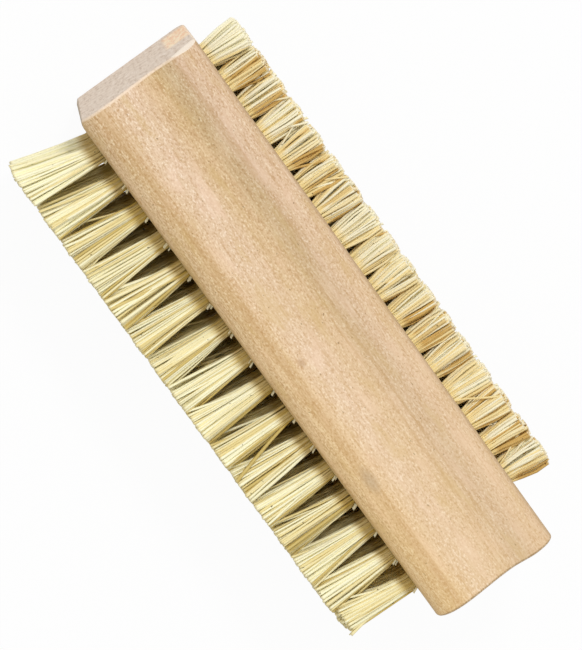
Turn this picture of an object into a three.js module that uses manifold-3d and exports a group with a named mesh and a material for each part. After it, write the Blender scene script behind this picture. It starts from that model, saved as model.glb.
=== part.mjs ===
// A double-sided wooden nail brush lying on its flat back, in millimetres with +Z up.
// X runs along the block, the grooved grip side faces +Z, the long bristles point to -Y
// and the short ones to +Y. The origin is the middle of the flat back.
import * as THREE from "three";
import { mergeVertices } from "three/addons/utils/BufferGeometryUtils.js";
import Module from "manifold-3d";

// Beech block
const BLOCK_LENGTH = 95;
const FACE_TO_FACE = 21.5; // from the long-bristle face to the short-bristle face
const BLOCK_DEPTH = 30; // from the flat back to the two crests of the grip side
const LONG_SIDE_BULLNOSE = 4.7; // radius where the grip side turns into the long-bristle face
const SHORT_SIDE_ROUND = 3.4; // radius where the grip side turns into the short-bristle face
const BACK_ROUND = 2; // radius along both edges of the flat back
const END_EASE = 0.5; // softened edge round both ends
const GROOVE_DEPTH = 1.4; // finger groove, below the crests
const GROOVE_OFFSET = 2.7; // deepest line of the groove, from mid-block towards the short bristles

// Tuft holes, drilled into both bristle faces
const LONG_HOLE = 3.4; // diameter
const SHORT_HOLE = 3.8;
const CORE_WEB = 6; // undrilled wood between the two sets of holes
const LONG_PITCH = 5.5; // hole to hole along a row of long tufts
const LONG_ROW_LEAST = 4.9; // least distance between rows of long tufts
const LONG_ROW_EDGE = 1.4; // wood between the outermost long holes and the edge of their flat face
const LONG_END_MARGIN = 5.9; // least distance from either end to a long tuft's centre
const SHORT_PITCH = 5;
const SHORT_ROW_SPACING = 5;
const SHORT_ROWS = 2;
const SHORT_START_MARGIN = 4.4; // from the -X end to the first short tuft's centre
const SHORT_END_MARGIN = 9; // least distance from the last short tuft's centre to the +X end

// Bristles, each strand standing for a bundle of plant fibres
const LONG_BRISTLE = 13; // free length, trimmed straight
const SHORT_BRISTLE = 7; // free length at the middle of a tuft
const SHORT_DOME = 0.5; // how much lower the outer strands of a short tuft are trimmed
const STRAND_RADIUS = 0.44;
const RING_STRANDS = 4; // strands round the middle one in each tuft
const TIP_CLEARANCE = 0.25; // kept between a flared tuft and the border with its neighbour
const SLICE_THICKNESS = 1.5; // slice of the bristle face that the strands are rooted in
const SLICE_RIM = 0.4; // slice beyond its outermost holes

// Anchor staples, one flat wire across the bottom of each hole
const STAPLE_HEIGHT = 1.6;
const STAPLE_THICKNESS = 0.45;

const FIT_GAP = 0.3; // clearance between pieces that sit in one another
const HOLE_SIDES = 8;
const PLUG_SIDES = 6;
const STRAND_SIDES = 3;
const STRAND_SEAT = 0.4; // how far a strand runs into its slice
const END_EASE_STEPS = 2;
const ARC_STEPS = 5; // facets of each rounded corner
const GROOVE_STEPS = 6; // facets of each flank of the groove
const TUFT_TURN = 2.4; // radians between one tuft's strand pattern and the next

const FACE_Y = FACE_TO_FACE / 2;
const HOLE_DEPTH = (FACE_TO_FACE - CORE_WEB) / 2;

const wasm = await Module();
wasm.setup();

// A closed geometry as a solid that can be joined and cut.
function solidOf(geometry) {
  geometry.deleteAttribute("normal");
  geometry.deleteAttribute("uv");
  const merged = mergeVertices(geometry);
  const mesh = new wasm.Mesh({
    numProp: 3,
    vertProperties: merged.attributes.position.array,
    triVerts: new Uint32Array(merged.index.array),
  });
  return new wasm.Manifold(mesh);
}

function geometryOf(solid) {
  const mesh = solid.getMesh();
  const geometry = new THREE.BufferGeometry();
  geometry.setAttribute("position", new THREE.BufferAttribute(mesh.vertProperties, 3));
  geometry.setIndex(new THREE.BufferAttribute(mesh.triVerts, 1));
  geometry.computeVertexNormals();
  return geometry;
}

// Block

// One flank of the groove, a half wave from the height of one line to that of another.
function addFlank(shape, fromY, fromZ, toY, toZ) {
  for (let step = 1; step <= GROOVE_STEPS; step++) {
    const share = step / GROOVE_STEPS;
    const rise = (1 - Math.cos(Math.PI * share)) / 2;
    shape.lineTo(fromY + (toY - fromY) * share, fromZ + (toZ - fromZ) * rise);
  }
}

// Section across the block, drawn in Y and Z: a flat back and a grip side with two crests.
function blockSection() {
  const grooveZ = BLOCK_DEPTH - GROOVE_DEPTH;
  const shortCrestY = FACE_Y - SHORT_SIDE_ROUND;
  const longCrestY = LONG_SIDE_BULLNOSE - FACE_Y;
  const backY = FACE_Y - BACK_ROUND;
  const quarter = Math.PI / 2;
  const shape = new THREE.Shape();
  shape.moveTo(-backY, 0);
  shape.lineTo(backY, 0);
  shape.absarc(backY, BACK_ROUND, BACK_ROUND, -quarter, 0);
  shape.absarc(shortCrestY, BLOCK_DEPTH - SHORT_SIDE_ROUND, SHORT_SIDE_ROUND, 0, quarter);
  addFlank(shape, shortCrestY, BLOCK_DEPTH, GROOVE_OFFSET, grooveZ);
  addFlank(shape, GROOVE_OFFSET, grooveZ, longCrestY, BLOCK_DEPTH);
  shape.absarc(longCrestY, BLOCK_DEPTH - LONG_SIDE_BULLNOSE, LONG_SIDE_BULLNOSE, quarter, 2 * quarter);
  shape.absarc(-backY, BACK_ROUND, BACK_ROUND, 2 * quarter, 3 * quarter);
  return shape;
}

function blockBlank() {
  const straight = BLOCK_LENGTH - 2 * END_EASE;
  const geometry = new THREE.ExtrudeGeometry(blockSection(), {
    depth: straight,
    curveSegments: ARC_STEPS,
    bevelThickness: END_EASE,
    bevelSize: END_EASE,
    bevelOffset: -END_EASE,
    bevelSegments: END_EASE_STEPS,
  });
  geometry.translate(0, 0, -straight / 2);
  const alongX = new THREE.Matrix4().makeBasis(
    new THREE.Vector3(0, 1, 0),
    new THREE.Vector3(0, 0, 1),
    new THREE.Vector3(1, 0, 0),
  );
  return solidOf(geometry.applyMatrix4(alongX));
}

// Tuft fields: outward is the sign of Y that the bristles point to, and each slice carries some of
// the rows. A row has a height above the back and its places along the block. The front row is the
// last, nearest the grip side, and its places reach farthest.

function evenlySpaced(count, pitch, first) {
  return Array.from({ length: count }, (_, index) => first + index * pitch);
}

function centred(count, pitch, middle) {
  return evenlySpaced(count, pitch, middle - ((count - 1) * pitch) / 2);
}

// Places half-way between those of a neighbouring row.
function halfWay(places) {
  return places.slice(1).map((x, index) => (x + places[index]) / 2);
}

function longField() {
  const flatLow = BACK_ROUND;
  const flatHigh = BLOCK_DEPTH - LONG_SIDE_BULLNOSE;
  const rowRoom = flatHigh - flatLow - LONG_HOLE - 2 * LONG_ROW_EDGE;
  const rowSteps = Math.max(Math.floor(rowRoom / LONG_ROW_LEAST), 1);
  const rowSpacing = rowRoom / rowSteps;
  const tuftCount = Math.floor((BLOCK_LENGTH - 2 * LONG_END_MARGIN) / LONG_PITCH) + 1;
  const places = centred(tuftCount, LONG_PITCH, 0);
  const rows = centred(rowSteps + 1, rowSpacing, (flatLow + flatHigh) / 2).map((z) => ({ z, places }));
  const backCount = Math.floor(rows.length / 2);
  return {
    outward: -1,
    hole: LONG_HOLE,
    rows,
    slices: { long_tufts_back: rows.slice(0, backCount), long_tufts_front: rows.slice(backCount) },
    places,
    cell: Math.min(LONG_PITCH, rowSpacing),
    length: LONG_BRISTLE,
    dome: 0,
  };
}

function shortField() {
  const flatMiddle = (BACK_ROUND + BLOCK_DEPTH - SHORT_SIDE_ROUND) / 2;
  const room = BLOCK_LENGTH - SHORT_START_MARGIN - SHORT_END_MARGIN;
  const tuftCount = Math.floor(room / SHORT_PITCH) + 1;
  const places = evenlySpaced(tuftCount, SHORT_PITCH, SHORT_START_MARGIN - BLOCK_LENGTH / 2);
  const rows = centred(SHORT_ROWS, SHORT_ROW_SPACING, flatMiddle).map((z, row) => {
    const staggered = (SHORT_ROWS - 1 - row) % 2 === 1;
    return { z, places: staggered ? halfWay(places) : places };
  });
  return {
    outward: 1,
    hole: SHORT_HOLE,
    rows,
    slices: { short_tufts: rows },
    places,
    cell: Math.min(SHORT_PITCH, SHORT_ROW_SPACING),
    length: SHORT_BRISTLE,
    dome: SHORT_DOME,
  };
}

// A bar of regular section that runs along +Y from the origin.
function bar(radius, sides, length) {
  const corners = Array.from({ length: sides }, (_, corner) => {
    const angle = (corner / sides) * 2 * Math.PI;
    return new THREE.Vector2(Math.cos(angle), Math.sin(angle)).multiplyScalar(radius);
  });
  const geometry = new THREE.ExtrudeGeometry(new THREE.Shape(corners), { depth: length, bevelEnabled: false });
  return geometry.rotateX(-Math.PI / 2);
}

// A bar into the block whose outer end lies "inset" inside the bristle face.
function inwardBar(field, x, z, radius, sides, inset, length) {
  const geometry = bar(radius, sides, length);
  if (field.outward > 0) geometry.translate(0, -length, 0);
  return solidOf(geometry.translate(x, field.outward * (FACE_Y - inset), z));
}

// A plate flush with a bristle face, reaching "margin" past the rim round the given rows of holes.
function facePlate(field, rows, margin) {
  const reach = field.hole / 2 + SLICE_RIM + margin;
  const firstX = field.places[0] - reach;
  const lastX = field.places[field.places.length - 1] + reach;
  const lowZ = rows[0].z - reach;
  const highZ = rows[rows.length - 1].z + reach;
  const geometry = new THREE.BoxGeometry(lastX - firstX, SLICE_THICKNESS, highZ - lowZ);
  const y = field.outward * (FACE_Y - SLICE_THICKNESS / 2);
  return solidOf(geometry.translate((firstX + lastX) / 2, y, (lowZ + highZ) / 2));
}

// The block with a shallow seat for each slice and the tuft holes.
function drilledBlock(fields) {
  const cuts = [];
  for (const field of fields) {
    for (const rows of Object.values(field.slices)) {
      cuts.push(facePlate(field, rows, FIT_GAP));
    }
    for (const row of field.rows) {
      for (const x of row.places) {
        cuts.push(inwardBar(field, x, row.z, field.hole / 2, HOLE_SIDES, 0, HOLE_DEPTH));
      }
    }
  }
  return blockBlank().subtract(wasm.Manifold.union(cuts));
}

// Tufts

// A three-sided strand from the face outwards, leaning from its root to its tip.
function strand(field, root, tip, length, turn) {
  const geometry = bar(STRAND_RADIUS, STRAND_SIDES, length + STRAND_SEAT);
  geometry.rotateY(turn);
  geometry.translate(0, -STRAND_SEAT, 0);
  const leanX = (tip.x - root.x) / length;
  const leanZ = (tip.y - root.y) / length;
  geometry.applyMatrix4(new THREE.Matrix4().makeShear(0, 0, leanX, leanZ, 0, 0));
  geometry.translate(root.x, 0, root.y);
  if (field.outward < 0) geometry.rotateX(Math.PI);
  return geometry;
}

// The strands of one tuft at its place, a middle one and a ring that flares to the tips.
function tuftStrands(field, x, z, index) {
  const rootRing = field.hole / 2 - FIT_GAP - STRAND_RADIUS;
  const tipRing = field.cell / 2 - TIP_CLEARANCE - STRAND_RADIUS;
  const middle = new THREE.Vector2(0, 0);
  const turn = index * TUFT_TURN;
  const strands = [strand(field, middle, middle, field.length, turn)];
  for (let place = 0; place < RING_STRANDS; place++) {
    const angle = turn + (place / RING_STRANDS) * 2 * Math.PI;
    const direction = new THREE.Vector2(Math.cos(angle), Math.sin(angle));
    const root = direction.clone().multiplyScalar(rootRing);
    const tip = direction.clone().multiplyScalar(tipRing);
    strands.push(strand(field, root, tip, field.length - field.dome, angle));
  }
  return strands.map((geometry) => solidOf(geometry.translate(x, field.outward * FACE_Y, z)));
}

// Rows of tufts on one slice of the face, with the root of each tuft down in its hole.
function tuftRows(field, rows) {
  const plugRadius = field.hole / 2 - FIT_GAP;
  const plugLength = HOLE_DEPTH - STAPLE_HEIGHT - FIT_GAP - SLICE_THICKNESS / 2;
  const pieces = [facePlate(field, rows, 0)];
  rows.forEach((row, rowIndex) => {
    row.places.forEach((x, place) => {
      const index = rowIndex * field.places.length + place;
      pieces.push(inwardBar(field, x, row.z, plugRadius, PLUG_SIDES, SLICE_THICKNESS / 2, plugLength));
      pieces.push(...tuftStrands(field, x, row.z, index));
    });
  });
  return wasm.Manifold.union(pieces);
}

// Anchor staple standing on the bottom of its hole, across the tuft.
function stapleGeometry(field, x, z) {
  const width = field.hole - 2 * FIT_GAP;
  const geometry = new THREE.BoxGeometry(width, STAPLE_HEIGHT, STAPLE_THICKNESS);
  return geometry.translate(x, field.outward * (FACE_Y - HOLE_DEPTH + STAPLE_HEIGHT / 2), z);
}

// Materials

function beech() {
  return new THREE.MeshStandardMaterial({ color: 0xdebd97, roughness: 0.6, metalness: 0 });
}

function plantFibre() {
  return new THREE.MeshStandardMaterial({ color: 0xe3d6a2, roughness: 0.55, metalness: 0 });
}

function stapleSteel() {
  return new THREE.MeshStandardMaterial({ color: 0xb9b4a6, roughness: 0.35, metalness: 1 });
}

// Assembly

const brush = new THREE.Group();

function addPiece(name, geometry, material) {
  const mesh = new THREE.Mesh(geometry, material);
  mesh.name = name;
  brush.add(mesh);
}

// The slices of one face with their tufts, and the staples of its front row, nearest the grip side.
function addField(field, stapleName) {
  for (const [name, rows] of Object.entries(field.slices)) {
    addPiece(name, geometryOf(tuftRows(field, rows)), plantFibre());
  }
  const frontRow = field.rows[field.rows.length - 1];
  frontRow.places.forEach((x, place) => {
    const number = String(place + 1).padStart(2, "0");
    addPiece(`${stapleName}_${number}`, stapleGeometry(field, x, frontRow.z), stapleSteel());
  });
}

const longTufts = longField();
const shortTufts = shortField();
addPiece("handle_block", geometryOf(drilledBlock([longTufts, shortTufts])), beech());
addField(longTufts, "long_staple");
addField(shortTufts, "short_staple");

export default brush;
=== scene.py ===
"""Looks for a double-sided wooden nail brush: a beech block with long and short plant-fibre tufts.

Lengths are in metres. X runs along the block, the grooved grip side faces +Z, the long bristles
point to -Y and the short ones to +Y.
"""
import math
from dataclasses import dataclass

import bmesh
import bpy
import numpy as np
from mathutils import Matrix, Vector


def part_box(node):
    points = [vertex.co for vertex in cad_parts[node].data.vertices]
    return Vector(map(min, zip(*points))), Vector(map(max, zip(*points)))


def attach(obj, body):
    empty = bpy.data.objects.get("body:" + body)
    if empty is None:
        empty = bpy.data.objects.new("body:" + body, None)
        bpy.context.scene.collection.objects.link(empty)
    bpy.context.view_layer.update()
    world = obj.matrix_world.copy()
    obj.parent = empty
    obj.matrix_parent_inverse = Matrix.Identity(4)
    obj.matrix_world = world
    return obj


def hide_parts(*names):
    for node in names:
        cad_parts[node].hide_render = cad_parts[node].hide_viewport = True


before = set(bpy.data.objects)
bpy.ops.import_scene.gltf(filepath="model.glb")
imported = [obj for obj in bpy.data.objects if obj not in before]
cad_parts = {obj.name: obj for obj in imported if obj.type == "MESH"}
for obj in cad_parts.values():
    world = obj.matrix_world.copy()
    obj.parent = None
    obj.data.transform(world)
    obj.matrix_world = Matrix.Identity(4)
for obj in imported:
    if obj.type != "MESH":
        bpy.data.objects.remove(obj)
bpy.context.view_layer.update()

MM = 0.001
block_low, block_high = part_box("handle_block")
long_face_y = block_low.y
short_face_y = block_high.y

# Beech block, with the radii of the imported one
LONG_SIDE_BULLNOSE = 4.7 * MM
SHORT_SIDE_ROUND = 3.4 * MM
BACK_ROUND = 2 * MM
END_EASE = 0.5 * MM
GROOVE_DEPTH = 1.4 * MM
GROOVE_OFFSET = 2.7 * MM  # deepest line of the groove, from mid-block towards the short bristles
ROUND_STEPS = 12
END_EASE_STEPS = 4
GROOVE_STEPS = 28
WORN_RIM_RUN = 4.4 * MM  # facet on the rim of the -X end at the short-bristle face, along Y
WORN_RIM_WIDTH = 0.5 * MM  # along X
WORN_RIM_DROP = 2 * MM  # along Z
WORN_RIM_INNER = 0.5 * MM  # its depth under the grip side where it runs out
WORN_RIM_OUTER = 1.6 * MM  # its depth under the grip side at the short-bristle face
WORN_CORNER_BACK = 1.6 * MM  # round between the -X end and the long-bristle face, along Y at the back
WORN_CORNER_FRONT = 0.6 * MM  # along Y at the grip side
WORN_CORNER_RUN = 4.4 * MM  # along X at the back
WORN_CORNER_STEPS = 4
SHARP_ANGLE = math.radians(40)  # edges of the block that turn further are shaded sharp
SAME_PLACE = MM / 100  # points nearer than this are one
LEVEL = 0.999  # least upward part of the normal of a level face

# Tones of the wood in bands: low side, high side and soft border
YELLOWED_GROOVE = (-3 * MM, 7 * MM, 5 * MM)  # along Y
SHADED_GROOVE = (2 * MM, 7 * MM, 2 * MM)  # along Y
LONG_CREST_LINE = (-8.2 * MM, -5.6 * MM, 1.1 * MM)  # along Y
LIT_PATCH_WIDTH = (6 * MM, 11.2 * MM, 0.9 * MM)  # painted patch of light on the -X end, along Y
LIT_PATCH_HEIGHT = (2 * MM, 20 * MM, 3 * MM)  # along Z
# Rims of the two ends: a painted highlight at the -X end, painted shade at the +X end
RIM_LIGHT_AND_SHADE = (block_high.x - 0.5 * MM, block_high.x - 0.02 * MM, 0.15 * MM)  # along X from mid-block

# Tones of the wood that grow towards a side: where they begin and where they are full
SHORT_SIDE_TONE = (4.5 * MM, 8 * MM)  # along Y
LONG_SIDE_TONE = (-2.5 * MM, -8.5 * MM)  # along Y
FIRST_END_TONE = (30 * MM, block_low.x)  # along X
# Painted shade on the wood along the edges beside the tufts
TUFT_EDGE_SHADE = (short_face_y - 0.6 * MM, short_face_y - 0.03 * MM)  # along Y from mid-block
END_TONE = (block_high.x - 0.3 * MM, block_high.x - 0.06 * MM)  # along X from mid-block
FACET_TONE = (-0.12 * MM, -0.03 * MM)  # from the plane of a worn facet

# Single marks and growth rings of the wood
KNOT_PLACE = (1.9 * MM, -4.8 * MM, 29.5 * MM)
KNOT_SIZE = (1.3 * MM, 0.8 * MM, 3 * MM)
SMUDGE_PLACE = (22.9 * MM, -6.8 * MM, 29 * MM)
SMUDGE_SIZE = (3.5 * MM, 1.6 * MM, 4 * MM)
PITH = (0, 34 * MM, -46 * MM)  # from the heart of the tree to the origin
RINGS_PER_METRE = 450

# Tuft holes and their rows
LONG_HOLE = 3.4 * MM
SHORT_HOLE = 3.8 * MM
HOLE_SIDES = 24
HOLE_OVERCUT = 1 * MM  # how far the drill starts outside the face
LONG_ROWS = 4
LONG_ROW_SPACING = 5.7 * MM
SHORT_ROW_SPACING = 5 * MM
STAPLE_EASE = 0.08 * MM

# Plant fibres
FIBRE_SIDES = 4
FIBRE_STEPS = 4  # rings of a fibre before the two of its cut end
CUT_RING = 0.985  # share of the length at which the first of those two lies
FIBRE_RADIUS_SPREAD = 0.18  # share of the radius by which fibres differ
FIBRE_RADIUS_LIMITS = (0.5, 1.6)  # thinnest and thickest fibre over the usual one
ROOT_SEAT = 3 * MM  # how far the fibres run down into the hole
CLUMPS = 6  # bundles of a tuft that lean together
CLUMP_SHIFT = 0.26 * MM
TIP_JITTER = 0.16 * MM
FIBRE_BOW = 0.1 * MM
STRAY_REACH = 3.6 * MM  # how far along X a stray tip may lie from its place in the tuft
STRAY_END = 1.4 * MM  # how far stray tips may reach past the outermost tufts
STUB_LENGTH = 0.9 * MM
STUB_LENGTHS = (0.6, 1.2)  # shortest and longest stub over the usual one
STUB_RING = 1.05  # ring of the stubs over that of the outermost fibres
STUB_ANGLE = 0.5  # radians from +X towards the grip side
STUB_ANGLE_SPREAD = 0.5
STUB_LEAN = 0.45 * MM
STUB_THICKNESS = 0.95  # over that of a whole fibre
TUFT_TONE_SPREAD = 0.07
SAME_ROW = MM / 10  # tufts nearer than this along an axis stand in line
REAR_SHADE_TONES = (0.75, 1.0)  # lowest and highest tone of the rows behind, darker and more golden as painted shade deep in the tufts
LEAN_FADE = 6.5 * MM  # distance along a row over which the lean of its end tufts fades
FIBRE_SEED = 41

# Camera that took the photograph, from the corners of the block in it
CAMERA_AIM = Vector((-1.15, -2.948, 15.0)) * MM
CAMERA_DISTANCE = 700 * MM
CAMERA_TILT_BACK = math.radians(10.196)  # towards the -X end
CAMERA_TILT_SIDE = math.radians(0.908)  # towards the short bristles
CAMERA_ROLL = math.radians(54.281)
CAMERA_LENS = 250.5
CAMERA_SENSOR = 36

# Studio
FLOOR_SIZE = 3
FLOOR_DROP = 0.05 * MM
FLOOR_WHITENING = 0.95  # how far the floor is lifted to the white of the background
WORLD_FILL = 0.76
KEY_POWER = 3.4
KEY_SIZE = 0.16
KEY_PLACE = Vector((-0.36, 0.45, 0.82))


def plane_through(first, second, third):
    """A point of a plane and its normal, which points out of the block."""
    normal = (second - first).cross(third - first).normalized()
    block_middle = (block_low + block_high) / 2
    return first, normal if normal.dot(first - block_middle) > 0 else -normal


worn_rim = plane_through(
    Vector((block_low.x, short_face_y - WORN_RIM_RUN, block_high.z - WORN_RIM_INNER)),
    Vector((block_low.x + WORN_RIM_WIDTH, short_face_y, block_high.z - WORN_RIM_OUTER)),
    Vector((block_low.x, short_face_y, block_high.z - WORN_RIM_OUTER - WORN_RIM_DROP)),
)


def corner_facet(turn):
    """A plane that touches the worn round of the corner, turned from its end (0) to its long face."""
    along_end = 1 - math.tan(turn / 2)
    along_face = 1 - math.tan(math.pi / 4 - turn / 2)
    return plane_through(
        Vector((block_low.x, long_face_y + WORN_CORNER_BACK * along_end, block_low.z)),
        Vector((block_low.x, long_face_y + WORN_CORNER_FRONT * along_end, block_high.z)),
        Vector((block_low.x + WORN_CORNER_RUN * along_face, long_face_y, block_low.z)),
    )


worn_corner = [
    corner_facet(math.pi / 2 * step / WORN_CORNER_STEPS) for step in range(1, WORN_CORNER_STEPS)
]


# Mesh helpers


def object_from(bm, name):
    """An object of the scene from a finished bmesh."""
    mesh = bpy.data.meshes.new(name)
    bm.to_mesh(mesh)
    bm.free()
    made = bpy.data.objects.new(name, mesh)
    bpy.context.scene.collection.objects.link(made)
    return made


def piece_from(bm, name, material):
    """A piece of the brush from a finished bmesh."""
    piece = object_from(bm, name)
    piece.data.materials.append(material)
    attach(piece, "root")
    return piece


def baked_mesh(piece):
    """The mesh of a piece with its modifiers applied."""
    depsgraph = bpy.context.evaluated_depsgraph_get()
    return bpy.data.meshes.new_from_object(piece.evaluated_get(depsgraph))


def staple_places(prefix):
    """Centres of the staples of a front row, from one end of the block to the other."""
    names = sorted(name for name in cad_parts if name.startswith(prefix))
    boxes = [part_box(name) for name in names]
    return [(low + high) / 2 for low, high in boxes]


def row_behind(front_row, distance):
    """Tuft places of a row that lies behind the front one."""
    return [Vector((place.x, place.y, place.z - distance)) for place in front_row]


def half_way(row):
    """Places in the gaps of a row."""
    return [(first + second) / 2 for first, second in zip(row, row[1:])]


# Shader helpers


def colour(code):
    """A written sRGB colour such as "dfc09a" as the linear colour of a socket."""
    channels = [int(code[start:start + 2], 16) / 255 for start in (0, 2, 4)]
    linear = [c / 12.92 if c <= 0.04045 else ((c + 0.055) / 1.055) ** 2.4 for c in channels]
    return (*linear, 1)


def feed(tree, node, inputs):
    """Sets the inputs of a node, and links those that are given as sockets."""
    for key, value in inputs.items():
        if isinstance(value, bpy.types.NodeSocket):
            tree.links.new(value, node.inputs[key])
        else:
            node.inputs[key].default_value = value


def put(tree, kind, inputs=None, **settings):
    """Adds a node with its inputs. Settings are its properties."""
    made = tree.nodes.new(kind)
    for key, value in settings.items():
        setattr(made, key, value)
    feed(tree, made, inputs or {})
    return made


def maths(tree, operation, first, second=0.0):
    return put(tree, "ShaderNodeMath", {0: first, 1: second}, operation=operation).outputs[0]


def product(tree, first, second):
    return maths(tree, "MULTIPLY", first, second)


def ramped(tree, value, low, high, to_low=0.0, to_high=1.0):
    """A smooth step of a value from to_low at low to to_high at high."""
    inputs = {"Value": value, "From Min": low, "From Max": high, "To Min": to_low, "To Max": to_high}
    return put(tree, "ShaderNodeMapRange", inputs, interpolation_type="SMOOTHSTEP").outputs["Result"]


def mixed(tree, share, first, second, blend="MIX"):
    inputs = {0: share, 6: first, 7: second}
    return put(tree, "ShaderNodeMix", inputs, data_type="RGBA", blend_type=blend).outputs[2]


def stretched_noise(tree, place, scale, detail=2.0, roughness=0.5):
    """Noise with its own number of features per metre along X, Y and Z."""
    spread = put(tree, "ShaderNodeMapping", {"Vector": place, "Scale": scale})
    inputs = {"Vector": spread.outputs[0], "Scale": 1.0, "Detail": detail, "Roughness": roughness}
    return put(tree, "ShaderNodeTexNoise", inputs).outputs["Fac"]


def spot(tree, place, centre, size):
    """A soft round mask, 1 at its centre and 0 from the given half sizes outwards."""
    scale = tuple(1 / half for half in size)
    location = tuple(-middle * factor for middle, factor in zip(centre, scale))
    inputs = {"Vector": place, "Scale": scale, "Location": location}
    local = put(tree, "ShaderNodeMapping", inputs)
    distance = put(tree, "ShaderNodeVectorMath", {0: local.outputs[0]}, operation="LENGTH")
    return ramped(tree, distance.outputs["Value"], 1.0, 0.2)


def span(tree, value, low, high, soft):
    """A mask that is 1 from low to high and fades out over a soft border inside them."""
    rising = ramped(tree, value, low, low + soft)
    falling = ramped(tree, value, high, high - soft)
    return product(tree, rising, falling)


def on_facet(tree, place, facet):
    """A mask that is 1 on the plane of a worn facet and fades out just under it."""
    point, normal = facet
    inputs = {0: place, 1: normal}
    height = put(tree, "ShaderNodeVectorMath", inputs, operation="DOT_PRODUCT").outputs["Value"]
    begins, full = FACET_TONE
    surface = point.dot(normal)
    return ramped(tree, height, surface + begins, surface + full)


def new_material(name):
    """An empty node material and its Principled shader."""
    material = bpy.data.materials.new(name)
    material.use_nodes = True
    return material, material.node_tree, material.node_tree.nodes["Principled BSDF"]


# Materials


def side_grain(tree, place, streaks, flecks, specks):
    """Beech along the grain: broad bands, streaks and patches, ray flecks and a few dark specks."""
    bands = stretched_noise(tree, place, (16, 190, 190), 3, 0.55)
    patches = stretched_noise(tree, place, (110, 420, 420), 2, 0.55)
    lines = stretched_noise(tree, place, (12, 1300, 1300), 2, 0.5)
    wood = mixed(tree, ramped(tree, bands, 0.3, 0.7), colour("e3c7af"), colour("dcbf9d"))
    wood = mixed(tree, ramped(tree, streaks, 0.5, 0.75, 0.0, 0.7), wood, colour("c59e75"))
    wood = mixed(tree, ramped(tree, streaks, 0.48, 0.25, 0.0, 0.7), wood, colour("f0dac0"))
    wood = mixed(tree, ramped(tree, flecks, 0.52, 0.7, 0.0, 0.65), wood, colour("b58a60"))
    wood = mixed(tree, ramped(tree, flecks, 0.47, 0.3, 0.0, 0.95), wood, colour("f5e2cd"))
    wood = mixed(tree, ramped(tree, patches, 0.5, 0.72, 0.0, 0.5), wood, colour("f0d2bc"))
    wood = mixed(tree, ramped(tree, patches, 0.48, 0.28, 0.0, 0.5), wood, colour("d3b583"))
    wood = mixed(tree, ramped(tree, specks, 0.74, 0.78, 0.0, 0.75), wood, colour("80603f"))
    return mixed(tree, ramped(tree, lines, 0.58, 0.7, 0.0, 0.3), wood, colour("bd9463"))


def block_tones(tree, place, axes, wood, flecks, toward_last_end):
    """Slow changes of tone along and across the block, and the stronger lines of its long side."""
    wood = mixed(tree, product(tree, toward_last_end, 0.3), wood, colour("f5d6a4"))
    in_groove = span(tree, axes["Y"], *YELLOWED_GROOVE)
    yellowing = ramped(tree, axes["X"], *FIRST_END_TONE, 0.35, 0.75)
    wood = mixed(tree, product(tree, in_groove, yellowing), wood, colour("ebe3be"), "MULTIPLY")
    toward_short_side = ramped(tree, axes["Y"], *SHORT_SIDE_TONE)
    wood = mixed(tree, toward_short_side, wood, colour("f4f0e6"), "MULTIPLY")
    toward_long_side = ramped(tree, axes["Y"], *LONG_SIDE_TONE)
    wood = mixed(tree, toward_long_side, wood, colour("fff9df"), "MULTIPLY")
    toward_first_end = ramped(tree, axes["X"], *FIRST_END_TONE)
    groove_shade = product(tree, span(tree, axes["Y"], *SHADED_GROOVE), toward_first_end)
    wood = mixed(tree, groove_shade, wood, colour("f5f6ea"), "MULTIPLY")
    crest_shade = product(tree, toward_long_side, toward_first_end)
    wood = mixed(tree, crest_shade, wood, colour("f9fbff"), "MULTIPLY")

    edge_lines = stretched_noise(tree, place, (30, 2600, 2600), 2, 0.6)
    edge_lines = product(tree, maths(tree, "ADD", edge_lines, flecks), 0.5)
    warm_lines = product(tree, ramped(tree, edge_lines, 0.5, 0.64, 0.0, 0.3), toward_long_side)
    wood = mixed(tree, warm_lines, wood, colour("b98544"))
    pale_lines = product(tree, ramped(tree, edge_lines, 0.49, 0.35, 0.0, 0.3), toward_long_side)
    wood = mixed(tree, pale_lines, wood, colour("f3d6a4"))
    long_crest = product(tree, span(tree, axes["Y"], *LONG_CREST_LINE), 0.25)
    return mixed(tree, long_crest, wood, colour("b98f55"))


def marks_and_tuft_shade(tree, place, axes, wood):
    """A small knot, a grey smudge and painted shade on the wood beside the tufts."""
    knot = product(tree, spot(tree, place, KNOT_PLACE, KNOT_SIZE), 0.45)
    wood = mixed(tree, knot, wood, colour("a87b52"))
    smudge = product(tree, spot(tree, place, SMUDGE_PLACE, SMUDGE_SIZE), 0.3)
    wood = mixed(tree, smudge, wood, colour("9d9184"))
    # Painted shade along the edges of the block beside the tufts
    from_axis = maths(tree, "ABSOLUTE", axes["Y"])
    painted_shade = ramped(tree, from_axis, *TUFT_EDGE_SHADE, 0.0, 0.5)
    return mixed(tree, painted_shade, wood, colour("9e7c46"))


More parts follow.
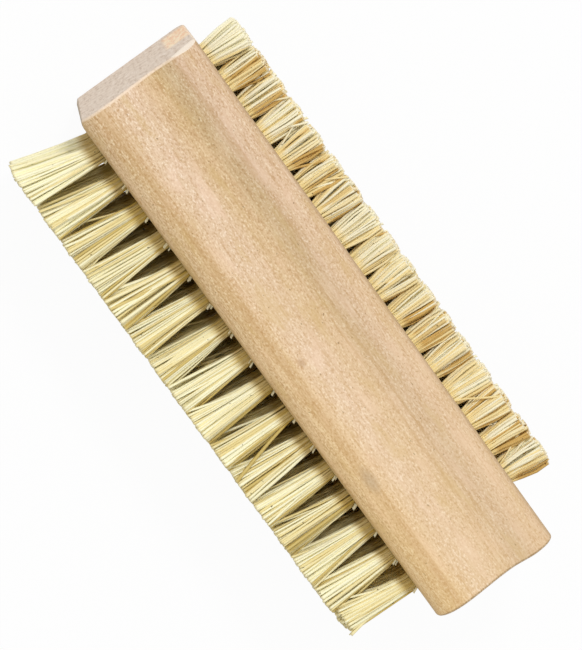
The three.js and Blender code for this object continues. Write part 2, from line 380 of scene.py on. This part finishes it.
def end_grain(tree, place, axes, specks):
    """Greyer end grain with growth rings and pores, and a painted patch of light on the -X end."""
    rings = put(tree, "ShaderNodeTexWave", {
        "Vector": put(tree, "ShaderNodeMapping", {"Vector": place, "Location": PITH}).outputs[0],
        "Scale": RINGS_PER_METRE * math.pi / 10,
        "Distortion": 2.5,
        "Detail": 0.0,
        "Detail Scale": 0.5,
    }, wave_type="RINGS", rings_direction="X", wave_profile="SAW").outputs["Fac"]
    pores = stretched_noise(tree, place, (900, 1700, 380), 3, 0.65)
    mottle = stretched_noise(tree, place, (300, 750, 750), 3, 0.6)
    wood = mixed(tree, ramped(tree, rings, 0.1, 0.95), colour("e4d2c0"), colour("dcc9b5"))
    wood = mixed(tree, ramped(tree, pores, 0.5, 0.68, 0.0, 0.6), wood, colour("b99e84"))
    wood = mixed(tree, ramped(tree, pores, 0.45, 0.3, 0.0, 0.6), wood, colour("f3e6d8"))
    # Painted patch of light on the -X end
    across = span(tree, axes["Y"], *LIT_PATCH_WIDTH)
    upright = span(tree, axes["Z"], *LIT_PATCH_HEIGHT)
    lit_patch = product(tree, product(tree, across, upright), ramped(tree, axes["X"], 0.0, block_low.x))
    lit_patch = product(tree, lit_patch, ramped(tree, mottle, 0.35, 0.6, 0.7, 1.0))
    lit_patch_colour = mixed(tree, ramped(tree, pores, 0.4, 0.6), colour("fde6c2"), colour("f8caa0"))
    wood = mixed(tree, lit_patch, wood, lit_patch_colour)
    wood = mixed(tree, ramped(tree, mottle, 0.5, 0.7, 0.0, 0.3), wood, colour("c9b19c"))
    return mixed(tree, ramped(tree, specks, 0.72, 0.76, 0.0, 0.7), wood, colour("80603f"))


def worn_edges(tree, place, from_middle, wood, flecks, toward_last_end):
    """Rims of the two ends with a painted highlight at the -X end and painted shade at the +X end, the
    bare facet at one corner, and painted shade on the round of another.
    """
    # Painted highlight on the rim of the -X end, turning to painted shade on the rim of the +X end
    rim = span(tree, from_middle, *RIM_LIGHT_AND_SHADE)
    rim = product(tree, rim, ramped(tree, flecks, 0.35, 0.6, 0.3, 0.9))
    rim_highlight_and_shade = mixed(tree, toward_last_end, colour("f5e0c8"), colour("a98a5e"))
    wood = mixed(tree, rim, wood, rim_highlight_and_shade)
    fibrous = ramped(tree, flecks, 0.6, 0.4, 0.6, 1.0)
    bare = product(tree, on_facet(tree, place, worn_rim), fibrous)
    wood = mixed(tree, bare, wood, colour("f8ebda"))
    # Painted shade darkens the worn round of the corner between the -X end and the long-bristle face
    for facet in worn_corner[:2]:
        painted_shade = product(tree, on_facet(tree, place, facet), 0.55)
        wood = mixed(tree, painted_shade, wood, colour("86765c"))
    return wood


def beech():
    """Bare sanded beech: fine grain and ray flecks along X, greyer end grain, a few marks, and painted
    light and shade at its rims, corners and beside the tufts.
    """
    material, tree, shader = new_material("beech")
    place = put(tree, "ShaderNodeTexCoord").outputs["Object"]
    axes = put(tree, "ShaderNodeSeparateXYZ", {0: place}).outputs
    streaks = stretched_noise(tree, place, (260, 2300, 2300), 3, 0.6)
    flecks = stretched_noise(tree, place, (2200, 3800, 3800), 2, 0.6)
    specks = stretched_noise(tree, place, (1900, 2500, 2500), 1)
    toward_last_end = ramped(tree, axes["X"], block_low.x, block_high.x)
    from_middle = maths(tree, "ABSOLUTE", axes["X"])

    wood = side_grain(tree, place, streaks, flecks, specks)
    wood = block_tones(tree, place, axes, wood, flecks, toward_last_end)
    wood = marks_and_tuft_shade(tree, place, axes, wood)
    on_end = ramped(tree, from_middle, *END_TONE)
    wood = mixed(tree, on_end, wood, end_grain(tree, place, axes, specks))
    wood = worn_edges(tree, place, from_middle, wood, flecks, toward_last_end)

    relief = maths(tree, "ADD", streaks, product(tree, flecks, -0.6))
    bump = put(tree, "ShaderNodeBump", {"Height": relief, "Strength": 0.2, "Distance": 0.1 * MM})
    feed(tree, shader, {
        "Base Color": wood,
        "Roughness": ramped(tree, streaks, 0.2, 0.8, 0.52, 0.68),
        "Specular IOR Level": 0.3,
        "Normal": bump.outputs[0],
    })
    return material


def fibre_colour_group():
    """Colour of plant fibre: each has its own tone, with another colour at its root and cut end. The
    tone also carries painted shade, and the root colour of the long fibres is a painted shadow.
    """
    group = bpy.data.node_groups.new("fibre_colour", "ShaderNodeTree")
    face = group.interface
    for name in ("Pale", "Gold", "Brown", "Root", "Cut"):
        face.new_socket(name, in_out="INPUT", socket_type="NodeSocketColor")
    face.new_socket("Color", in_out="OUTPUT", socket_type="NodeSocketColor")
    face.new_socket("Roughness", in_out="OUTPUT", socket_type="NodeSocketFloat")
    given = put(group, "NodeGroupInput").outputs
    tone = put(group, "ShaderNodeAttribute", attribute_name="fibre_tone").outputs["Fac"]
    along = put(group, "ShaderNodeAttribute", attribute_name="along_fibre").outputs["Fac"]
    place = put(group, "ShaderNodeTexCoord").outputs["Object"]

    straw = mixed(group, ramped(group, tone, 0.4, 0.9), given["Pale"], given["Gold"])
    straw = mixed(group, ramped(group, tone, 0.93, 1.05, 0.0, 0.8), straw, given["Brown"])
    mottle = stretched_noise(group, place, (2500, 350, 2500), 2)
    straw = mixed(group, ramped(group, mottle, 0.55, 0.8, 0.0, 0.35), straw, given["Gold"])
    # Root colour: a painted shadow of the block on the long fibres, their own colour on the short
    # ones.
    straw = mixed(group, ramped(group, along, 0.24, 0.1, 0.0, 0.75), straw, given["Root"])
    straw = mixed(group, ramped(group, along, 0.965, 0.995, 0.0, 0.55), straw, given["Cut"])
    specks = stretched_noise(group, place, (1600, 1600, 1600), 0)
    straw = mixed(group, ramped(group, specks, 0.84, 0.87, 0.0, 0.75), straw, colour("5c4c2c"))
    roughness = ramped(group, mottle, 0.3, 0.7, 0.42, 0.58)
    put(group, "NodeGroupOutput", {"Color": straw, "Roughness": roughness})
    return group


def plant_fibre(name, group, tones):
    """Stiff plant fibre. Tones are written colours for the colour sockets of the shared group."""
    material, tree, shader = new_material(name)
    fibre = put(tree, "ShaderNodeGroup", node_tree=group)
    feed(tree, fibre, {socket: colour(code) for socket, code in tones.items()})
    feed(tree, shader, {
        "Base Color": fibre.outputs["Color"],
        "Roughness": fibre.outputs["Roughness"],
        "Specular IOR Level": 0.4,
    })
    return material


def staple_wire():
    """Flat steel wire with drawing marks along it."""
    material, tree, shader = new_material("staple_wire")
    place = put(tree, "ShaderNodeTexCoord").outputs["Object"]
    marks = stretched_noise(tree, place, (300, 9000, 9000), 2)
    steel = mixed(tree, ramped(tree, marks, 0.3, 0.7), colour("b9b4a6"), colour("97917f"))
    feed(tree, shader, {
        "Base Color": steel,
        "Metallic": 1.0,
        "Roughness": ramped(tree, marks, 0.2, 0.8, 0.3, 0.5),
    })
    return material


# Block


def groove_share(y):
    """How deep the finger groove is at y, from 0 at the two crests to 1 at its deepest line."""
    crest = short_face_y - SHORT_SIDE_ROUND if y > GROOVE_OFFSET else long_face_y + LONG_SIDE_BULLNOSE
    share = min(max((crest - y) / (crest - GROOVE_OFFSET), 0), 1)
    return (1 - math.cos(math.pi * share)) / 2


def round_long_edge(bm, y, z, radius):
    """Rounds the edge that runs along the block at the given y and z."""
    corner = Vector((0, y, z))
    edges = [
        edge for edge in bm.edges
        if all((vertex.co - corner).yz.length < SAME_PLACE for vertex in edge.verts)
    ]
    bmesh.ops.bevel(
        bm, geom=edges, offset=radius, offset_type="OFFSET", affect="EDGES",
        segments=ROUND_STEPS, profile=0.5, material=-1,
    )


def sink_groove(bm):
    """Cuts the grip side into strips and lowers them to the section of the finger groove."""
    first = long_face_y + LONG_SIDE_BULLNOSE
    last = short_face_y - SHORT_SIDE_ROUND
    for step in range(1, GROOVE_STEPS):
        y = first + (last - first) * step / GROOVE_STEPS
        top = [face for face in bm.faces if face.normal.z > LEVEL]
        edges = {edge for face in top for edge in face.edges}
        vertices = {vertex for face in top for vertex in face.verts}
        bmesh.ops.bisect_plane(
            bm, geom=[*top, *edges, *vertices], plane_co=(0, y, 0), plane_no=(0, 1, 0),
        )
    for vertex in bm.verts:
        if vertex.co.z > block_high.z - SAME_PLACE:
            vertex.co.z -= GROOVE_DEPTH * groove_share(vertex.co.y)


def shave(bm, facet):
    """Takes off what lies outside the plane of a worn facet."""
    point, normal = facet
    cut = bmesh.ops.bisect_plane(
        bm, geom=[*bm.verts, *bm.edges, *bm.faces], plane_co=point, plane_no=normal, clear_outer=True,
    )
    rim = [item for item in cut["geom_cut"] if isinstance(item, bmesh.types.BMEdge)]
    bmesh.ops.contextual_create(bm, geom=rim)


def ease_end(bm, side):
    """Rounds the rim of one end in steps of a quarter circle."""
    end = max(bm.faces, key=lambda face: side * face.calc_center_median().x)
    for step in range(END_EASE_STEPS):
        start = math.pi / 2 * step / END_EASE_STEPS
        stop = math.pi / 2 * (step + 1) / END_EASE_STEPS
        bmesh.ops.inset_region(
            bm, faces=[end], use_even_offset=True,
            thickness=END_EASE * (math.cos(start) - math.cos(stop)),
            depth=END_EASE * (math.sin(stop) - math.sin(start)),
        )


def block_blank():
    """The moulded and worn block before it is drilled."""
    size = block_high - block_low
    middle = (block_high + block_low) / 2
    stretch = Matrix.Diagonal((size.x - 2 * END_EASE, size.y, size.z, 1))
    bm = bmesh.new()
    bmesh.ops.create_cube(bm, size=1, matrix=Matrix.Translation(middle) @ stretch)
    round_long_edge(bm, long_face_y, block_high.z, LONG_SIDE_BULLNOSE)
    round_long_edge(bm, short_face_y, block_high.z, SHORT_SIDE_ROUND)
    round_long_edge(bm, long_face_y, block_low.z, BACK_ROUND)
    round_long_edge(bm, short_face_y, block_low.z, BACK_ROUND)
    bm.normal_update()
    sink_groove(bm)
    ease_end(bm, -1)
    ease_end(bm, 1)
    shave(bm, worn_rim)
    for facet in worn_corner:
        shave(bm, facet)
    bmesh.ops.recalc_face_normals(bm, faces=bm.faces)
    return bm


def hole_cutter(places):
    """Round bars where the tuft holes are drilled, each from outside its face to its staple's foot."""
    staple_low, staple_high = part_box("long_staple_01")
    half_staple = (staple_high.y - staple_low.y) / 2
    bm = bmesh.new()
    for place in places:
        side = 1 if place.y > 0 else -1
        radius = (SHORT_HOLE if place.y > 0 else LONG_HOLE) / 2
        bottom = abs(place.y) - half_staple
        mouth = short_face_y + HOLE_OVERCUT
        turn = Matrix.Rotation(math.pi / 2, 4, "X")
        move = Matrix.Translation((place.x, side * (bottom + mouth) / 2, place.z))
        bmesh.ops.create_cone(
            bm, cap_ends=True, segments=HOLE_SIDES, radius1=radius, radius2=radius,
            depth=mouth - bottom, matrix=move @ turn,
        )
    return object_from(bm, "hole_cutter")


def make_block(places, material):
    """The block with a hole drilled at each of the tuft places."""
    block = piece_from(block_blank(), "wooden_block", material)
    cutter = hole_cutter(places)
    drilling = block.modifiers.new("tuft_holes", "BOOLEAN")
    drilling.operation = "DIFFERENCE"
    drilling.solver = "EXACT"
    drilling.object = cutter
    drilled = baked_mesh(block)
    block.modifiers.clear()
    block.data = drilled
    bpy.data.objects.remove(cutter)
    drilled.shade_smooth()
    drilled.set_sharp_from_angle(angle=SHARP_ANGLE)
    block.modifiers.new("flat_faces", "WEIGHTED_NORMAL").keep_sharp = True
    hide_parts("handle_block")


# Tufts


@dataclass
class BristleFace:
    """How the tufts of one face of the block stand."""

    y: float
    outward: int
    front_z: float  # height of the front row, nearest the grip side
    length: float  # free length of a fibre at the middle of its tuft
    fibres: int  # in each tuft
    root_radius: float  # ring of the outermost fibres in their hole
    flare: float  # width of a tuft at its tips over that at its roots
    flare_curve: float  # power by which the flare grows along a fibre
    dome: float  # how much shorter the fibres at the rim of a tuft are trimmed
    trim_jitter: float
    rear_trim: float  # how much shorter the rows behind the front one are
    rear_lift: float  # how far the tips of those rows rise towards the grip side
    lean: float  # of all tips along X
    first_lean: float  # more of it at the -X end
    last_lean: float  # more of it at the +X end
    strays: float  # share of the fibres that lean out of their tuft
    stubs: int  # broken fibres beside the root of each front tuft
    first_flare: float  # flare of the tufts at the -X end
    last_flare: float  # flare of the tufts at the +X end
    last_dome: float  # dome of the tufts at the +X end
    belly: float  # how far the outermost fibres bow out along X
    far_side_shade: float  # how much darker and more golden the fibres on the +X side of a tuft are: painted shade
    thickness: float  # radius of a fibre at its root
    tip_thickness: float  # radius at the tip over that at the root
    tuft_tones: dict  # shift in tone of single tufts, by their number in their piece


def strand_template():
    """A straight closed strand of unit radius and unit length along Z, with rings to bend it at."""
    bm = bmesh.new()
    bmesh.ops.create_cone(bm, cap_ends=True, segments=FIBRE_SIDES, radius1=1, radius2=1, depth=1)
    lengthwise = [edge for edge in bm.edges if abs(edge.verts[0].co.z - edge.verts[1].co.z) > 0.5]
    bmesh.ops.subdivide_edges(bm, edges=lengthwise, cuts=FIBRE_STEPS)
    bmesh.ops.recalc_face_normals(bm, faces=bm.faces)
    ring_shares = [*(step / FIBRE_STEPS for step in range(FIBRE_STEPS)), CUT_RING, 1]
    for vertex in bm.verts:
        ring = round((vertex.co.z + 0.5) * (FIBRE_STEPS + 1))
        vertex.co.z = ring_shares[ring]
    return bm


def end_lean(face, x, first_x, last_x):
    """How far the tips of a tuft lean along X: more or less at the two ends of a row."""
    from_first = np.exp((first_x - x) / LEAN_FADE)
    from_last = np.exp((x - last_x) / LEAN_FADE)
    return face.lean + face.first_lean * from_first + face.last_lean * from_last


@dataclass
class FibreCourses:
    """The run of every fibre of some tufts. Roots, tips and bows are pairs of x and z."""

    root: np.ndarray
    tip: np.ndarray
    bow: np.ndarray
    length: np.ndarray
    radius: np.ndarray
    tone: np.ndarray


def fibre_courses(face, places, rng):
    """Draws the run of every fibre, among them a few strays and the broken stubs of the front row."""
    count = len(places) * face.fibres
    tuft = np.repeat(np.arange(len(places)), face.fibres)
    centre = np.array([(place.x, place.z) for place in places])[tuft]
    in_front = centre[:, 1] > face.front_z - SAME_ROW
    stub = in_front & np.tile(np.arange(face.fibres) < face.stubs, len(places))
    reach = np.where(stub, STUB_RING, np.sqrt(rng.random(count)))
    stub_angle = rng.normal(STUB_ANGLE, STUB_ANGLE_SPREAD, count)
    angle = np.where(stub, stub_angle, rng.uniform(0, 2 * math.pi, count))
    from_axis = face.root_radius * reach[:, None] * np.stack([np.cos(angle), np.sin(angle)], axis=1)

    clump = tuft * CLUMPS + (angle / (2 * math.pi) * CLUMPS).astype(int) % CLUMPS
    shift = rng.normal(0, CLUMP_SHIFT, (len(places) * CLUMPS, 2))[clump]
    first_x = centre[:, 0].min()
    last_x = centre[:, 0].max()
    in_first_tuft = centre[:, 0] < first_x + SAME_ROW
    flare = np.where(in_first_tuft, face.first_flare, face.flare)
    in_last_tuft = centre[:, 0] > last_x - SAME_ROW
    flare = np.where(in_last_tuft, face.last_flare, flare)
    dome = np.where(in_last_tuft, face.last_dome, face.dome)
    tip = centre + flare[:, None] * from_axis + shift + rng.normal(0, TIP_JITTER, (count, 2))
    tip[:, 0] += end_lean(face, centre[:, 0], first_x, last_x)
    tip[:, 1] += np.where(in_front, 0, face.rear_lift)
    stray = rng.random(count) < face.strays
    stray_x = tip[:, 0] + rng.uniform(-STRAY_REACH, STRAY_REACH, count)
    tip[:, 0] = np.where(stray, stray_x.clip(first_x - STRAY_END, last_x + STRAY_END), tip[:, 0])
    length = face.length - dome * reach**2 - np.where(in_front, 0, face.rear_trim)
    length = length + rng.normal(0, face.trim_jitter, count)
    radius = face.thickness * rng.normal(1, FIBRE_RADIUS_SPREAD, count).clip(*FIBRE_RADIUS_LIMITS)
    bow = rng.normal(0, FIBRE_BOW, (count, 2))
    toward_far = reach * np.cos(angle)
    bow[:, 0] += face.belly * toward_far**3

    stub_tip = centre + from_axis * (1 + STUB_LEAN / face.root_radius)
    tip = np.where(stub[:, None], stub_tip, tip)
    length = np.where(stub, rng.uniform(*STUB_LENGTHS, count) * STUB_LENGTH, length)
    radius = np.where(stub, STUB_THICKNESS * radius, radius)
    bow = np.where(stub[:, None], 0, bow)
    tuft_tone = rng.normal(0, TUFT_TONE_SPREAD, len(places))
    for number, tone_shift in face.tuft_tones.items():
        tuft_tone[number] += tone_shift
    # Fibres on the +X side of a tuft get darker, more golden tones as painted shade.
    tone = rng.random(count) + tuft_tone[tuft] + face.far_side_shade * toward_far.clip(0, 1)
    # The rows behind, except those of the first tuft, get darker, more golden tones as painted shade.
    tone = np.where(in_front | in_first_tuft, tone, np.interp(tone, (0, 1), REAR_SHADE_TONES))
    tone = np.where(stub, 0, tone)
    return FibreCourses(centre + from_axis, tip, bow, length, radius, tone)


def make_fibres(name, face, places, node, material, rng):
    """One piece with every fibre of the given tufts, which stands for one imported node."""
    template = piece_from(strand_template(), name, material)
    fibres = fibre_courses(face, places, rng)
    count = len(fibres.length)
    copies = template.modifiers.new("fibres", "ARRAY")
    copies.count = count
    copies.use_relative_offset = False
    corners = np.array([vertex.co for vertex in template.data.vertices])
    mesh = baked_mesh(template)
    template.modifiers.clear()
    template.data = mesh

    spin = rng.uniform(0, 2 * math.pi, count)[:, None]
    share = corners[:, 2]
    length = fibres.length[:, None]
    radius = fibres.radius[:, None] * (1 + (face.tip_thickness - 1) * share)
    rise = (length + ROOT_SEAT) * share - ROOT_SEAT
    along = np.clip(rise / length, 0, 1)
    flared = (along**face.flare_curve)[:, :, None]
    bowed = np.sin(math.pi * along)[:, :, None]
    reach = (fibres.tip - fibres.root)[:, None, :]
    course = fibres.root[:, None, :] + reach * flared + fibres.bow[:, None, :] * bowed
    across_x = corners[:, 0] * np.cos(spin) - corners[:, 1] * np.sin(spin)
    across_z = corners[:, 0] * np.sin(spin) + corners[:, 1] * np.cos(spin)
    x = course[:, :, 0] + radius * across_x
    y = face.y + face.outward * rise
    z = course[:, :, 1] + radius * across_z * -face.outward
    mesh.vertices.foreach_set("co", np.stack([x, y, z], axis=2).ravel())

    per_corner = np.repeat(fibres.tone, len(corners))
    mesh.attributes.new("fibre_tone", "FLOAT", "POINT").data.foreach_set("value", per_corner)
    mesh.attributes.new("along_fibre", "FLOAT", "POINT").data.foreach_set("value", along.ravel())
    mesh.shade_smooth()
    mesh.update()
    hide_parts(node)


# Staples of the rows behind the front ones


def make_rear_staples(places, material):
    bm = bmesh.new()
    for place in places:
        low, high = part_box("short_staple_01" if place.y > 0 else "long_staple_01")
        stretch = Matrix.Diagonal((*(high - low), 1))
        bmesh.ops.create_cube(bm, size=1, matrix=Matrix.Translation(place) @ stretch)
    bmesh.ops.bevel(
        bm, geom=bm.edges[:], offset=STAPLE_EASE, offset_type="OFFSET", affect="EDGES",
        segments=1, profile=0.5, material=-1,
    )
    piece_from(bm, "rear_staples", material)


# Studio


def seen_directly(tree):
    """1 for rays that the viewer sees straight or by a reflection, 0 for those that only light."""
    rays = put(tree, "ShaderNodeLightPath").outputs
    seen = maths(tree, "MAXIMUM", rays["Is Camera Ray"], rays["Is Glossy Ray"])
    return maths(tree, "MAXIMUM", seen, rays["Is Transmission Ray"])


def make_floor():
    material, tree, shader = new_material("studio_floor")
    feed(tree, shader, {"Base Color": colour("e6e6e6"), "Roughness": 0.9, "Specular IOR Level": 0.0})
    white = put(tree, "ShaderNodeEmission", {"Color": (1, 1, 1, 1), "Strength": 1.0})
    share = product(tree, seen_directly(tree), FLOOR_WHITENING)
    mix = put(tree, "ShaderNodeMixShader", {0: share, 1: shader.outputs[0], 2: white.outputs[0]})
    tree.links.new(mix.outputs[0], tree.nodes["Material Output"].inputs["Surface"])
    bm = bmesh.new()
    bmesh.ops.create_grid(bm, x_segments=1, y_segments=1, size=FLOOR_SIZE / 2)
    bmesh.ops.translate(bm, verts=bm.verts, vec=(0, 0, -FLOOR_DROP))
    floor = object_from(bm, "studio_floor")
    floor.data.materials.append(material)


def make_world():
    world = bpy.data.worlds.new("studio")
    world.use_nodes = True
    tree = world.node_tree
    tree.nodes.clear()
    fill = put(tree, "ShaderNodeBackground", {"Color": (1, 1, 1, 1), "Strength": WORLD_FILL})
    white = put(tree, "ShaderNodeBackground", {"Color": (1, 1, 1, 1), "Strength": 1.0})
    inputs = {0: seen_directly(tree), 1: fill.outputs[0], 2: white.outputs[0]}
    mix = put(tree, "ShaderNodeMixShader", inputs)
    put(tree, "ShaderNodeOutputWorld", {"Surface": mix.outputs[0]})
    bpy.context.scene.world = world


def soft_box(name, place, size, power):
    """A square studio light that faces the middle of the brush."""
    light = bpy.data.lights.new(name, "AREA")
    light.shape = "SQUARE"
    light.size = size
    light.energy = power
    lamp = bpy.data.objects.new(name, light)
    bpy.context.scene.collection.objects.link(lamp)
    lamp.location = place
    lamp.rotation_mode = "QUATERNION"
    lamp.rotation_quaternion = (CAMERA_AIM - place).to_track_quat("-Z", "Y")


def make_camera():
    """The photograph's viewpoint: nearly straight down on the grip side, turned to a diagonal."""
    toward = Vector((-math.sin(CAMERA_TILT_BACK), math.sin(CAMERA_TILT_SIDE), 0))
    toward.z = math.sqrt(1 - toward.length_squared)
    level_right = Vector((0, 1, 0)).cross(toward).normalized()
    level_up = toward.cross(level_right)
    right = level_right * math.cos(CAMERA_ROLL) + level_up * math.sin(CAMERA_ROLL)
    up = level_up * math.cos(CAMERA_ROLL) - level_right * math.sin(CAMERA_ROLL)
    data = bpy.data.cameras.new("photo_camera")
    data.lens = CAMERA_LENS
    data.sensor_width = CAMERA_SENSOR
    camera = bpy.data.objects.new("photo_camera", data)
    bpy.context.scene.collection.objects.link(camera)
    turn = Matrix((right, up, toward)).transposed().to_4x4()
    camera.matrix_world = Matrix.Translation(CAMERA_AIM + CAMERA_DISTANCE * toward) @ turn
    bpy.context.scene.camera = camera


# Assembly

long_front_row = staple_places("long_staple_")
short_front_row = staple_places("short_staple_")
long_rows = [row_behind(long_front_row, row * LONG_ROW_SPACING) for row in range(LONG_ROWS)]
short_rows = [short_front_row, row_behind(half_way(short_front_row), SHORT_ROW_SPACING)]
rear_places = [place for row in long_rows[1:] + short_rows[1:] for place in row]
all_places = long_front_row + short_front_row + rear_places

long_side = BristleFace(
    y=long_face_y,
    outward=-1,
    front_z=long_front_row[0].z,
    length=long_face_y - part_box("long_tufts_front")[0].y,
    fibres=130,
    root_radius=1.4 * MM,
    flare=2.05,
    flare_curve=1.2,
    dome=0.1 * MM,
    trim_jitter=0.07 * MM,
    rear_trim=0,
    rear_lift=0,
    lean=-0.45 * MM,
    first_lean=-1.8 * MM,
    last_lean=-0.9 * MM,
    strays=0.045,
    stubs=2,
    first_flare=2.05,
    last_flare=1.65,
    last_dome=1.1 * MM,
    belly=0,
    far_side_shade=0.35,
    thickness=0.19 * MM,
    tip_thickness=1.3,
    tuft_tones={0: -0.35, 16: -0.35},
)
short_side = BristleFace(
    y=short_face_y,
    outward=1,
    front_z=short_front_row[0].z,
    length=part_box("short_tufts")[1].y - short_face_y,
    fibres=125,
    root_radius=1.86 * MM,
    flare=1.36,
    flare_curve=1.05,
    dome=0.75 * MM,
    trim_jitter=0.05 * MM,
    rear_trim=0.75 * MM,
    rear_lift=2 * MM,
    lean=0,
    first_lean=0.3 * MM,
    last_lean=0.5 * MM,
    strays=0.05,
    stubs=0,
    first_flare=1.65,
    last_flare=1.36,
    last_dome=0.75 * MM,
    belly=0.45 * MM,
    far_side_shade=0.6,
    thickness=0.22 * MM,
    tip_thickness=1.1,
    tuft_tones={0: -0.35, 1: 0.3, 15: 0.3},
)

fibre_group = fibre_colour_group()
long_fibre = plant_fibre("long_plant_fibre", fibre_group, {
    "Pale": "fffad4",
    "Gold": "f2e1a2",
    "Brown": "c8ad58",
    # Painted shadow of the block on the roots of the long fibres
    "Root": "ba962c",
    "Cut": "d6c692",
})
short_fibre = plant_fibre("short_plant_fibre", fibre_group, {
    "Pale": "fffadc",
    "Gold": "f9e5a8",
    "Brown": "cba048",
    "Root": "ffecaa",
    "Cut": "f6ecd6",
})
steel = staple_wire()
fibre_rng = np.random.default_rng(FIBRE_SEED)

make_block(all_places, beech())
front_places = long_rows[0] + long_rows[1]
back_places = long_rows[2] + long_rows[3]
short_places = short_rows[0] + short_rows[1]
make_fibres("long_fibres_front", long_side, front_places, "long_tufts_front", long_fibre, fibre_rng)
make_fibres("long_fibres_back", long_side, back_places, "long_tufts_back", long_fibre, fibre_rng)
make_fibres("short_fibres", short_side, short_places, "short_tufts", short_fibre, fibre_rng)
make_rear_staples(rear_places, steel)
for name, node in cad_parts.items():
    if "staple" in name:
        node.data.materials.clear()
        node.data.materials.append(steel)

make_floor()
make_world()
soft_box("key_light", KEY_PLACE, KEY_SIZE, KEY_POWER)
make_camera()
bpy.context.scene.view_settings.view_transform = "Standard"
